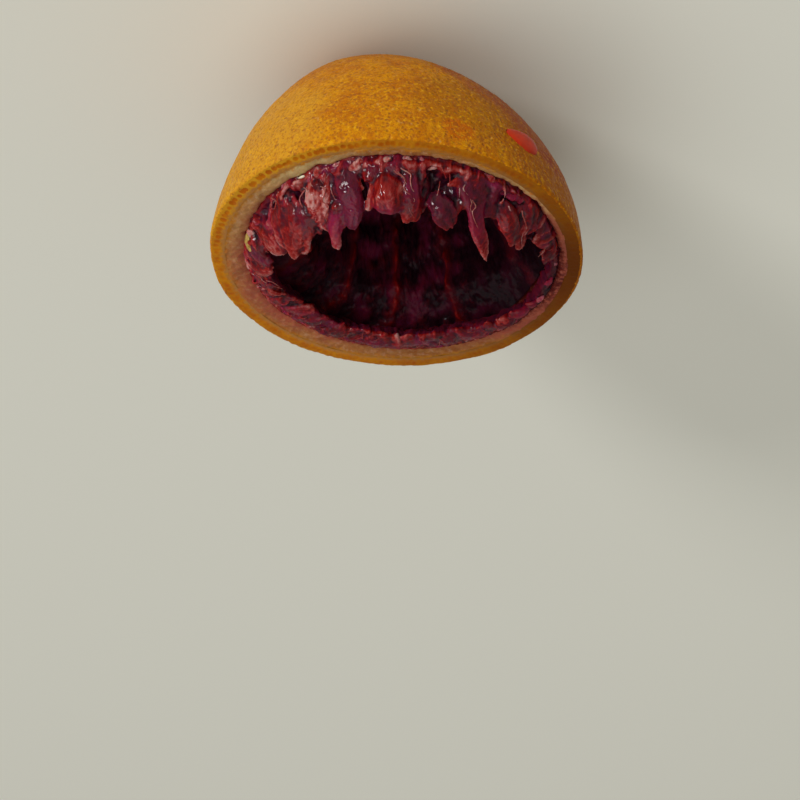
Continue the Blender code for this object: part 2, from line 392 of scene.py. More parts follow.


# Pith. The pale spongy layer under the zest: its cut face, a ragged inner edge, and the inside of the
# cup, bare where the reamer scoured it. Juice has stained it from cream through tan to brown-red, and
# painted shade deepens that stain round the -X side.
PEEL_THICKNESS = 5.8 * MM
EDGE_TEAR = 0.75 * MM


def scoured_at(turns):
    """1 where the reamer scoured the pith bare, on the -X side, falling away to either side of it."""
    return near_turn(turns, -102.0, 34.0)


def pith_edge(turns):
    """Inner radius of the cut pith, which is thinner at the front and on the -X side."""
    return RIM - PEEL_THICKNESS + (0.8 * np.cos(turns) - 1.15 * np.sin(turns)) * MM


def tear_at(turn):
    """How far the pith's inner edge was torn at one turn, from a wide and a narrow wave of noise."""
    x, y = math.sin(turn), math.cos(turn)
    return noise.noise(Vector((9 * x, 9 * y, 0.0))) + 0.5 * noise.noise(Vector((31 * x, 31 * y, 4.0)))


def inner_wall(turns, depth):
    """Radius of the inside of the peel at a depth below the cut."""
    return np.maximum(dome_radius(depth * 1.05 + 1.2 * MM) - (RIM - pith_edge(turns)) * 1.02, 0.0)


def pith_material():
    """Spongy tan, rosy in patches, with cream and warm stretches and the stains that juice left, made
    darker by painted shade round the -X side.
    """
    material, shader, node = new_material("pith")
    stain_and_shade = painted(node, "stain_and_shade")
    cream = painted(node, "cream")
    patchy = mottling(node, 1.8 * MM, 4.0, 0.6)
    tan = mixed(node, eased(node, patchy, 0.35, 0.65), (0.39, 0.160, 0.047), (0.28, 0.093, 0.022))
    rosy = eased(node, mottling(node, 1.1 * MM, 4.0, 0.65), 0.48, 0.68, 0.0, 0.75)
    tan = mixed(node, rosy, tan, (0.47, 0.240, 0.130))
    colour = mixed(node, cream, tan, (0.56, 0.40, 0.17))
    uneven = eased(node, mottling(node, 0.9 * MM, 3.0), 0.3, 0.7, -0.25, 0.25)
    ragged = combined(node, painted(node, "warm"), uneven, "ADD")
    colour = mixed(node, eased(node, ragged, 0.10, 0.95), colour, (0.45, 0.165, 0.014))
    blots = eased(node, mottling(node, 0.9 * MM, 4.0, 0.7), 0.25, 0.6, 0.55, 1.0)
    # the juice stains and the painted shade round the -X side both go dark brown-red
    blotchy = combined(node, stain_and_shade, blots)
    colour = mixed(node, eased(node, blotchy, 0.10, 0.55), colour, (0.36, 0.085, 0.050))
    colour = mixed(node, eased(node, blotchy, 0.50, 0.95), colour, (0.09, 0.008, 0.006))
    join(colour, shader.inputs["Base Color"])
    gloss = eased(node, stain_and_shade, 0.2, 0.9, 0.55, 0.28)
    join(gloss, shader.inputs["Roughness"])
    lit_through(shader, 0.06, 0.5, (1.0, 0.5, 0.3), 1.6 * MM)
    bumped(node, shader, mottling(node, 0.7 * MM, 4.0, 0.65), 0.16 * MM)
    return material


PITH_COLUMNS, CUT_ROWS, WALL_ROWS = 640, 16, 44
turns = all_round(PITH_COLUMNS)
inward = np.linspace(0.0, 1.0, CUT_ROWS)[:, None]
edge = pith_edge(turns) + EDGE_TEAR * np.array([tear_at(turn) for turn in turns[0]])
outer = RIM - ZEST_WIDTH + 0.1 * MM
cut_radii = outer + (edge - outer) * inward
cut_heights = CUT - 0.05 * MM - 0.75 * MM * inward ** 4 + 0.0 * turns
depths = np.linspace(0.02, 1.0, WALL_ROWS)[:, None] ** 1.25 * (CUT - 6.5 * MM)
wall_radii = np.minimum(inner_wall(turns, depths), edge - 0.1 * MM)
wall_heights = CUT - 0.8 * MM - depths + 0.0 * turns
radii, heights = np.concatenate([cut_radii, wall_radii]), np.concatenate([cut_heights, wall_heights])
points = ring_points(turns, radii, heights)
sponge = 0.16 * MM * sampled(grain(0.9 * MM, 2.0), points) + 0.22 * MM * sampled(grain(3 * MM, 8.0), points)
sponge[0] = 0.0
points[..., 2] += sponge
pith = sheet_object("pith", points)
deep = np.clip(np.concatenate([0.42 * inward ** 2.2, 0.75 + 0.0 * depths]) + 0.0 * turns, 0.0, 1.0)
# painted shade: the stain is made much darker round the -X side, which faces away from the key
stain_and_shade = deep + 0.80 * near_turn(turns, -98.0, 42.0)
stain_and_shade = stain_and_shade + 0.34 * near_turn(turns, 120.0, 42.0)
stain_and_shade = stain_and_shade + 0.12 * sampled(grain(5 * MM, 1.0), points)
cream = 0.9 * near_turn(turns, 34.0, 17.0) + 0.25 * near_turn(turns, 77.35, 28.65)
cream = cream + 0.5 * near_turn(turns, -54.0, 11.0)
cream = cream + 0.3 * near_turn(turns, -36.0, 20.0)
paint(pith, "stain_and_shade", np.clip(stain_and_shade, 0.0, 1.0))
paint(pith, "warm", np.concatenate([np.clip(1.0 - inward / 0.4, 0.0, 1.0), 0.0 * depths]) + 0.0 * turns)
paint(pith, "cream", np.clip(cream * (1.0 - deep), 0.0, 1.0))
pith.data.materials.append(pith_material())
add_to_half(pith)


# Crushed flesh. What the reamer leaves on the wall of the hollow: mashed juice sacs between the
# stumps of the ten segment walls, wet and wine red on the lumps, with painted shade that makes the
# creases and the scoured -X side nearly black.
SEGMENTS = 10
FLOOR, FLOOR_RADIUS, MOUTH_RADIUS, CORE_RADIUS = 8.2 * MM, 6.0 * MM, 21.5 * MM, 3.4 * MM
PULP_STOPS = (
    (0.00, (0.008, 0.002, 0.004)),
    (0.20, (0.022, 0.004, 0.008)),
    (0.40, (0.065, 0.005, 0.010)),
    (0.58, (0.105, 0.003, 0.005)),
    (0.70, (0.205, 0.005, 0.004)),
    (0.80, (0.255, 0.022, 0.018)),
    (0.90, (0.320, 0.080, 0.070)),
    (1.00, (0.430, 0.200, 0.180)),
)


def pulp_material(name, wetness=0.50, see_through=0.6):
    """Wet flesh. The tone on its points runs from black-purple through red to pale pink."""
    material, shader, node = new_material(name)
    tone = painted(node, "tone")
    streaks = mottling(node, 0.5 * MM, 3.0, 0.6, (1.0, 1.0, 0.22))
    tone = combined(node, tone, eased(node, streaks, 0.25, 0.75, -0.08, 0.08), "ADD")
    ramp = node("ShaderNodeValToRGB")
    while len(ramp.color_ramp.elements) < len(PULP_STOPS):
        ramp.color_ramp.elements.new(0.5)
    for element, (position, colour) in zip(ramp.color_ramp.elements, PULP_STOPS):
        element.position = position
        element.color = (*colour, 1.0)
    join(tone, ramp.inputs["Fac"])
    violet = combined(node, painted(node, "violet"), 0.8)
    colour = mixed(node, violet, ramp.outputs["Color"], (0.205, 0.008, 0.046))
    join(colour, shader.inputs["Base Color"])
    shader.inputs["Roughness"].default_value = 0.35
    lit_through(shader, 0.0, see_through, (1.0, 0.12, 0.08), 1.6 * MM)
    shader.inputs["Coat Weight"].default_value = wetness
    shader.inputs["Coat Roughness"].default_value = 0.07
    shader.inputs["Coat IOR"].default_value = 1.45
    bumped(node, shader, mottling(node, 2.2 * MM, 1.0, 0.5, (1.0, 1.0, 0.4)), 0.40 * MM)
    bumped(node, shader, mottling(node, 0.8 * MM, 2.0, 0.5, (1.0, 1.0, 0.3)), 0.15 * MM)
    join(shader.inputs["Normal"].links[0].from_socket, shader.inputs["Coat Normal"])
    bumped(node, shader, mottling(node, 0.4 * MM, 3.0, 0.6, (1.0, 1.0, 0.3)), 0.08 * MM)
    return material


LINING_ROWS, LINING_COLUMNS = 128, 720
CREST = CUT - 1.6 * MM
turns = all_round(LINING_COLUMNS)
along = np.linspace(0.0, 1.0, LINING_ROWS)[:, None]
scoured = scoured_at(turns)
# it starts under the pith's ragged edge, rounds over a crest, and runs down to the floor
crest = pith_edge(turns) - 0.4 * MM
hollow = FLOOR_RADIUS + (MOUTH_RADIUS - FLOOR_RADIUS) * (1.0 - along) ** 0.55
over = np.clip(along / 0.22, 0.0, 1.0)
radii = crest + (hollow - crest) * np.sin(0.5 * math.pi * over) ** 1.2
radii = radii + scoured * 0.72 * (np.minimum(inner_wall(turns, 34 * MM * along), crest) - 0.9 * MM - radii)
heights = CREST - (CREST - FLOOR) * along ** 1.02 - 3.0 * MM * scoured * np.exp(-along * 5)
radii = np.where(along > 0.94, radii * np.clip((1.0 - along) / 0.06, 0.0, 1.0) ** 0.6, radii)
points = ring_points(turns, radii, heights + 0.0 * turns)
wander = turns + 0.10 * sampled(grain(7 * MM, 15.0), points) + 0.03 * sampled(grain(2.5 * MM, 16.0), points)
septum = np.abs(np.cos(0.5 * (SEGMENTS * wander + 0.9 * np.sin(2.0 * wander)))) ** 22
down_wall = points * np.array([1.0, 1.0, 0.36])
sacs = sampled(pits(2.3 * MM, 7.0), down_wall)
small = sampled(pits(1.1 * MM, 3.0), down_wall)
threads = 1.0 - 2.6 * np.abs(sampled(grain(1.6 * MM, 33.0), points * np.array([1.0, 1.0, 0.22])))
torn = 0.5 + 0.5 * sampled(grain(2.4 * MM, 9.0), points)
lump = 0.9 * sacs + 0.35 * small + 1.3 * sampled(grain(5.5 * MM, 6.0), points) + 0.25 * threads
# lumps grow inward and a little upward, and the fruit's core stands in the middle of the floor
from_axis = np.linalg.norm(points[..., :2], axis=-1)
inside = -points * np.array([1.0, 1.0, 0.0]) / np.maximum(from_axis, 1e-6)[..., None]
inside[..., 2] += 0.35
grow = np.sin(math.pi * np.clip(along + 0.04, 0.0, 0.93)) ** 0.35 * (1.0 - 0.75 * scoured)
core = np.exp(-(from_axis / CORE_RADIUS) ** 2)
points = points + inside * (MM * (lump + 1.9 * septum * torn) * grow * (1.0 - core))[..., None]
on_floor = np.clip((along - 0.90) / 0.05, 0.0, 1.0)
crumbs = 1.3 * sampled(pits(2.2 * MM, 9.0), points) + 0.9 * sampled(grain(2.6 * MM, 21.0), points)
points[..., 2] += MM * on_floor * crumbs
points[..., 2] += MM * core * (1.6 + 1.2 * torn)
lining = sheet_object("crushed_flesh", points)
# painted shade: the creases between the lumps get a near-black tone, and the lumps a wine red
tone = 0.14 + 0.20 * sacs + 0.10 * small + 0.10 * threads + 0.12 * sampled(grain(6 * MM, 12.0), points)
# painted shade: the scoured wall on the -X side is darkened to near black, and the wall also darkens
# further down
tone = tone * (1.0 - 0.30 * along) * (1.0 - 0.85 * scoured) + septum * (0.18 + 0.34 * torn)
tone = tone + core * (0.55 + 0.3 * torn) + 0.10 * on_floor * crumbs
paint(lining, "tone", np.clip(tone, 0.02, 0.95))
violet = np.clip(sampled(grain(4 * MM, 20.0), points), 0.0, 0.5)
paint(lining, "violet", violet * (1.0 - septum) * (1.0 - scoured))
lining.data.materials.append(pulp_material("crushed_flesh", 0.12, 0.45))
add_to_half(lining)


# Pulp curtain. The mass of torn flesh that stands out of the mouth all round, fused and folded. It is
# rooted under the pith's inner edge and was dragged inward and up by the reamer.
# at the mouth, millimetres of arc in a degree, and millimetres from the axis
MM_PER_DEGREE, MOUTH_REACH = 0.47, 27.0
BACK_SLOPE, FRONT_SLOPE = 18.0, 49.0
ROOT_DEPTH = 0.3
# turn from the front in degrees, and millimetres from the pith to the curtain's free edge
FREE_EDGE = (
    (-180, 6.4), (-165, 7.2), (-150, 6.4), (-138, 4.6), (-124, 1.2), (-88, 0.7), (-80, 1.0), (-72, 2.4),
    (-63, 4.4), (-60, 6.4), (-47, 6.8), (-39, 6.4), (-30, 7.4), (-26, 7.2), (-25, 9.0), (-19, 9.4),
    (-14, 8.8), (-12, 8.2), (-10, 9.2), (-5, 10.2), (-1, 9.2), (6, 8.8), (10, 7.6), (13, 8.0), (18, 9.6),
    (22, 11.2), (26, 12.0), (32, 11.6), (36, 10.0), (43, 9.8), (50, 10.4), (57, 10.0), (64, 8.0), (72, 5.6),
    (84, 6.2), (97, 5.6), (112, 6.0), (130, 6.8), (150, 6.0), (165, 7.0), (180, 6.4),
)
# turn, millimetres from the pith, half width, half length, sideways lean, tone, violet, lift
# painted shade: strokes with a tone near 0 and a lift below 0 push in pockets and paint them near black
STROKES = (
    (65, 1.2, 1.4, 1.4, 0.0, 0.20, 0.35, -0.2), (57, 1.4, 2.1, 1.7, 0.0, 0.08, 0.35, -1.2),
    (68, 3.4, 1.1, 3.4, -0.3, 0.60, 0.00, 0.5), (62, 4.4, 0.5, 2.4, -0.3, 0.40, 0.70, 0.4),
    (51, 2.6, 1.0, 2.8, 0.3, 0.46, 0.00, 0.5), (44, 3.0, 1.2, 1.9, 0.2, 0.03, 0.25, -2.0),
    (40, 0.7, 2.0, 0.9, 0.0, 0.76, 0.00, 0.5), (49, 0.5, 1.2, 0.8, 0.0, 0.70, 0.00, 0.3),
    (40, 6.6, 1.6, 2.8, 0.0, 0.34, 0.00, 0.2), (28, 1.8, 1.6, 1.2, 0.0, 0.62, 0.10, 0.4),
    (24, 0.3, 3.0, 0.7, 0.0, 0.22, 1.00, 0.2), (22, 4.2, 2.0, 2.6, 0.0, 0.24, 0.25, 0.3),
    (23, 8.2, 0.8, 2.2, 0.2, 0.40, 0.70, 0.4), (20, 10.6, 1.2, 2.4, 0.0, 0.16, 0.25, -0.3),
    (15, 5.2, 1.1, 2.6, 0.0, 0.01, 0.10, -2.0), (12, 1.0, 2.6, 0.8, 0.0, 0.84, 0.05, 0.5),
    (13, 3.0, 0.9, 0.8, 0.0, 0.76, 0.00, 0.5), (7, 2.2, 0.4, 0.9, 0.0, 0.88, 0.30, 0.3),
    (3, 2.2, 0.4, 0.9, 0.0, 0.88, 0.30, 0.3), (-4, 1.2, 2.0, 1.0, 0.0, 0.66, 0.10, 0.4),
    (-2, 6.4, 1.2, 1.6, 0.0, 0.20, 0.80, -0.2), (-11, 2.6, 1.1, 1.3, 0.0, 0.02, 0.10, -1.5),
    (-12, 1.0, 1.0, 0.5, 0.0, 0.76, 0.00, 0.5), (-16, 4.8, 2.6, 2.4, 0.2, 0.01, 0.10, -2.4),
    (-16, 1.5, 0.8, 0.6, 0.0, 0.72, 0.00, 0.4), (-22, 0.9, 1.4, 0.6, 0.0, 0.86, 0.00, 0.6),
    (-30, 3.0, 3.2, 2.4, -0.4, 0.28, 0.25, 0.5), (-34, 1.0, 1.8, 0.9, 0.0, 0.30, 0.95, 0.2),
    (-39, 0.5, 1.2, 0.6, 0.0, 0.58, 0.60, 0.4), (-43, 2.4, 2.0, 1.2, 0.0, 0.06, 0.15, -1.2),
    (-48, 0.2, 2.4, 0.5, 0.0, 0.72, 0.10, 0.4), (-54, 1.8, 1.8, 1.7, 0.0, 0.38, 0.00, 0.5),
    (-63, 2.6, 1.6, 2.6, 0.0, 0.05, 0.20, -0.8), (-70, 1.4, 1.8, 1.2, 0.0, 0.22, 0.35, 0.2),
    (84, 2.0, 2.0, 1.8, 0.0, 0.12, 0.40, -0.4), (96, 2.6, 1.2, 1.8, 0.0, 0.05, 0.20, -1.2),
)


def wrapped(turn):
    """Degrees from the front, counted the short way round."""
    return (turn + 180.0) % 360.0 - 180.0


def free_edge(turn):
    """How far the curtain reaches from the pith at a turn, in millimetres."""
    return np.interp(turn, [at for at, reach in FREE_EDGE], [reach for at, reach in FREE_EDGE])


def curtain_place(turn, along, lift):
    """A place on the pulp: degrees from the front, then millimetres in from the pith and outward."""
    turns = np.radians(turn)
    in_front = 1.0 / (1.0 + np.exp((np.abs(wrapped(turn)) - 108.0) / 7.0))
    steep = np.radians(BACK_SLOPE + (FRONT_SLOPE - BACK_SLOPE) * in_front)
    radii = pith_edge(turns) + (-ROOT_DEPTH - np.cos(steep) * along + np.sin(steep) * lift) * MM
    heights = CUT + (-ROOT_DEPTH + np.sin(steep) * along + np.cos(steep) * lift) * MM
    return np.stack([radii * np.sin(turns), -radii * np.cos(turns), heights + 0.0 * radii], axis=-1)


def ring_noise(turn, along, across_size, along_size, seed):
    """Noise round the mouth, with lumps of so many millimetres across and along the pulp."""
    turns = np.radians(turn)
    around = MOUTH_REACH / across_size
    places = np.stack([around * np.cos(turns), around * np.sin(turns), along / along_size + seed], -1)
    return sampled(noise.noise, places)


CURTAIN_COLUMNS, FRONT_ROWS, BACK_ROWS = 900, 60, 20
TUCK = 1.5
turn = np.linspace(-180.0, 180.0, CURTAIN_COLUMNS, endpoint=False)[None, :]
free = free_edge(turn) * (1.0 + 0.16 * ring_noise(turn, 0.0 * turn, 1.6, 1.0, 3.0)
                          + 0.10 * ring_noise(turn, 0.0 * turn, 0.6, 1.0, 5.0))
share = np.linspace(0.0, 1.0, FRONT_ROWS)[:, None] ** 0.9
along = share * (free + TUCK) - TUCK
turn = turn + 0.0 * along
wander = turn + 3.2 * ring_noise(turn, along, 5.0, 6.0, 11.0)
wander = wander + 1.2 * ring_noise(turn, along, 1.8, 2.4, 12.0)
folds = 1.0 - 2.6 * np.abs(ring_noise(wander, along, 1.5, 6.0, 21.0))
fine = 1.0 - 2.6 * np.abs(ring_noise(wander, along, 0.7, 3.0, 22.0))
lumps = ring_noise(turn, along, 3.2, 3.6, 23.0)
puckers = ring_noise(turn, along, 1.5, 0.9, 24.0)
at_pith = np.exp(-(along / 1.5) ** 2)
lift = 0.4 + 0.9 * lumps + 0.34 * folds + 0.14 * fine + 0.8 * at_pith * puckers
tone = 0.38 + 0.12 * folds + 0.06 * fine + 0.10 * lumps
tone = tone + at_pith * (0.22 + 0.26 * puckers) + 0.14 * np.clip((share - 0.88) / 0.12, 0.0, 1.0)
violet = np.clip(0.05 + 1.2 * ring_noise(turn, along, 4.0, 4.0, 31.0), 0.0, 0.8) * (1.0 - at_pith)
for at_turn, at_along, half_width, half_length, lean, stroke_tone, stroke_violet, stroke_lift in STROKES:
    across = ((wander - at_turn) * MM_PER_DEGREE - lean * (along - at_along)) / half_width
    weight = np.exp(-(across ** 2 + ((along - at_along) / half_length) ** 2) ** 1.4)
    tone = tone + weight * (stroke_tone + 0.10 * folds + 0.05 * fine - tone)
    violet = violet + weight * (stroke_violet - violet)
    lift = lift + weight * stroke_lift
# painted shade: the curtain's tone is darkened where the reamer scoured the -X side
bare = scoured_at(np.radians(turn))
tone = tone * (1.0 - 0.75 * bare)
violet = violet * (1.0 - 0.8 * bare)
ends = np.clip(along / 0.5, 0.0, 1.0) * np.sqrt(np.clip((1.0 - share) / 0.10, 0.0, 1.0))
lift = lift * ends * (1.0 - 0.6 * bare) + 0.3 * (1.0 - np.clip(along / 0.5, 0.0, 1.0))
back_share = np.linspace(0.97, 0.0, BACK_ROWS)[:, None]
back_turn, back_along = turn[:BACK_ROWS], back_share * (free + TUCK) - TUCK
back_folds = 1.0 - 2.6 * np.abs(ring_noise(back_turn, back_along, 1.6, 4.0, 41.0))
back_lift = -2.2 - 0.45 * back_folds - 0.8 * ring_noise(back_turn, back_along, 3.0, 3.0, 42.0)
back_lift = back_lift * np.sqrt(np.clip((1.0 - back_share) / 0.35, 0.0, 1.0))
back = (back_turn, back_along, back_lift, 0.26 + 0.14 * back_folds, 0.2 + 0.0 * back_folds)
both = [np.concatenate(rows) for rows in zip((turn, along, lift, tone, violet), back)]
curtain = (curtain_place(*both[:3]), *both[3:])


# Hanging pulp. Tongues and torn skins that stand out from the curtain. Each is a flattened bag of
# flesh, folded lengthwise, joined to the curtain at its root and free at a ragged wet tip.
def smooth_path(controls, count):
    """A smooth curve through a few rows of numbers, as that many rows."""
    controls = np.array(controls, dtype=float).reshape(len(controls), -1)
    before, after = 2 * controls[:1] - controls[1:2], 2 * controls[-1:] - controls[-2:-1]
    padded = np.concatenate([before, controls, after])
    spread = np.linspace(0.0, len(controls) - 1.0001, count)
    first = spread.astype(int)
    share = (spread - first)[:, None]
    behind, here, ahead, beyond = (padded[first + step] for step in range(4))
    curve = 2 * here + (ahead - behind) * share + (2 * behind - 5 * here + 4 * ahead - beyond) * share ** 2
    return 0.5 * (curve + (3 * here - behind - 3 * ahead + beyond) * share ** 3)


def unit(vectors):
    """The same directions, each one long."""
    return vectors / np.linalg.norm(vectors, axis=-1, keepdims=True)


BAG_LIFT = 0.7
TIP_START = 0.84


def ring_of_noise(reach, cos, sin, along):
    """Noise round and along a bag, with more lumps round it the wider its reach."""
    return sampled(noise.noise, np.stack([reach * cos, reach * sin, along + 0.0 * cos], -1))


def pulp_bag(path, half_widths, thick, tones, violets, seed, folds=0.11, ragged=1.0, rings=40, around=32):
    """Points, tones and violets of one bag of pulp along a path of (turn, along, lift) places."""
    path = smooth_path(path, rings) * np.array([1.0, 1.0, BAG_LIFT])
    centres = curtain_place(path[:, 0], path[:, 1], path[:, 2])
    outward = curtain_place(path[:, 0], path[:, 1], path[:, 2] + 1.0) - centres
    way = unit(np.gradient(centres, axis=0))
    side = unit(np.cross(way, outward))
    through = unit(np.cross(side, way))
    share = np.linspace(0.0, 1.0, rings)[:, None]
    angle = np.linspace(0.0, 2.0 * math.pi, around, endpoint=False)[None, :]
    widths = smooth_path(half_widths, rings) * MM
    widths = widths * np.sqrt(1.0 - np.clip((share - TIP_START) / (1.0002 - TIP_START), 0.0, 1.0) ** 2)
    cos, sin = np.cos(angle) + 0.0 * share, np.sin(angle) + 0.0 * share
    coarse = ring_of_noise(1.7, cos, sin, 1.6 * share + 7.3 * seed)
    fine = ring_of_noise(4.2, cos, sin, 1.5 * share + 3.1 * seed)
    sway = sampled(noise.noise, np.stack([0.8 * cos, 3.2 * share + 0.0 * cos, 11.3 * seed + 0.4 * sin], -1))
    swell = 1.0 + folds * (1.8 * coarse + 1.1 - 3.2 * np.abs(fine)) + 3.0 * folds * sway
    edge = ring_of_noise(1.6, cos, sin, 5.7 * seed) + 0.7 * ring_of_noise(5.0, cos, sin, 2.3 * seed)
    ahead = ragged * 1.6 * edge * widths * np.clip((share - 0.6) / 0.4, 0.0, 1.0)
    points = centres[:, None, :] + side[:, None, :] * (widths * cos * swell)[..., None]
    points = points + through[:, None, :] * (widths * thick * sin * swell)[..., None]
    points = points + way[:, None, :] * ahead[..., None]
    tone = smooth_path(tones, rings) + 0.12 * coarse
    tone = tone + 0.10 * (1.0 - 3.0 * np.abs(fine)) + 0.04 * np.abs(cos)
    return points, tone, smooth_path(violets, rings) + 0.3 * coarse


def melt(piece, voxel):
    """Run closed bags that overlap into one skin, and smooth it."""
    remesh = piece.modifiers.new("melt", "REMESH")
    remesh.mode, remesh.voxel_size = "VOXEL", voxel
    smooth = piece.modifiers.new("smooth", "SMOOTH")
    smooth.factor, smooth.iterations = 0.5, 3
    melted = bpy.data.meshes.new_from_object(piece.evaluated_get(bpy.context.evaluated_depsgraph_get()))
    piece.modifiers.clear()
    piece.data = melted
    melted.name = piece.name


def crease(mesh):
    """Raise fine creases and crumbs on a mesh, and give its points, their normals and the creases."""
    spots = np.array([corner.co for corner in mesh.vertices])
    normals = np.array([corner.normal for corner in mesh.vertices])
    creases = 1.0 - 3.0 * np.abs(sampled(grain(0.9 * MM, 51.0), spots * np.array([1.0, 1.0, 0.28])))
    crumbs = sampled(grain(0.8 * MM, 52.0), spots * np.array([1.0, 1.0, 0.6]))
    spots = spots + normals * (MM * (0.07 * creases + 0.06 * crumbs))[:, None]
    mesh.vertices.foreach_set("co", spots.ravel())
    mesh.update()
    return spots, normals, creases


SMOOTHING_STEPS = 24


def dip(mesh, spots, normals):
    """How far each point of a mesh lies below its surroundings, in millimetres."""
    ends = np.array([edge.vertices for edge in mesh.edges])
    count = np.bincount(ends.ravel(), minlength=len(spots))[:, None]
    smoothed = spots
    for step in range(SMOOTHING_STEPS):
        total = np.stack([np.bincount(ends[:, 0], smoothed[ends[:, 1], axis], len(spots))
                          + np.bincount(ends[:, 1], smoothed[ends[:, 0], axis], len(spots))
                          for axis in range(3)], axis=-1)
        smoothed = 0.5 * smoothed + 0.5 * total / count
    return np.einsum("ij,ij->i", smoothed - spots, normals) / MM


def joined_piece(name, bags, material, voxel=0.0):
    """Many closed bags as one mesh, melted together first where a voxel size is given."""
    corners, faces, tones, violets = [], [], [], []
    for points, tone, violet in bags:
        rings, around = tone.shape
        # only the curtain is wider than the rim, and it closes on itself, where a bag has two ends
        wraps = np.ptp(points[0, :, 0]) > RIM
        start = len(corners)
        corners += points.reshape(-1, 3).tolist()
        for ring in range(rings if wraps else rings - 1):
            low, high = start + ring * around, start + (ring + 1) % rings * around
            for step in range(around):
                beside = (step + 1) % around
                faces.append((low + step, low + beside, high + beside, high + step))
        if not wraps:
            faces.append(tuple(start + step for step in reversed(range(around))))
            faces.append(tuple(start + (rings - 1) * around + step for step in range(around)))
        tones += tone.ravel().tolist()
        violets += violet.ravel().tolist()
    piece = bpy.data.objects.new(name, bpy.data.meshes.new(name))
    piece.data.from_pydata(corners, [], faces)
    bpy.context.scene.collection.objects.link(piece)
    if voxel:
        melt(piece, voxel)
        finder = kdtree.KDTree(len(corners))
        for index, corner in enumerate(corners):
            finder.insert(corner, index)
        finder.balance()
        nearest = [[index for spot, index, far in finder.find_n(corner.co, 3)]
                   for corner in piece.data.vertices]
        tones = np.array(tones)[nearest].mean(axis=1)
        violets = np.array(violets)[nearest].mean(axis=1)
        # creases are paler on their crests; painted shade darkens the dips between the lumps, and painted
        # light brightens the lumps that stand out
        spots, normals, creases = crease(piece.data)
        dips = dip(piece.data, spots, normals)
        tones = tones + 0.05 * creases - 2.2 * np.clip(dips, 0.0, 0.30) + 0.45 * np.clip(-dips, 0.0, 0.25)
    piece.data.shade_smooth()
    paint(piece, "tone", np.clip(tones, 0.0, 1.0))
    paint(piece, "violet", np.clip(violets, 0.0, 1.0))
    piece.data.materials.append(material)
    add_to_half(piece)


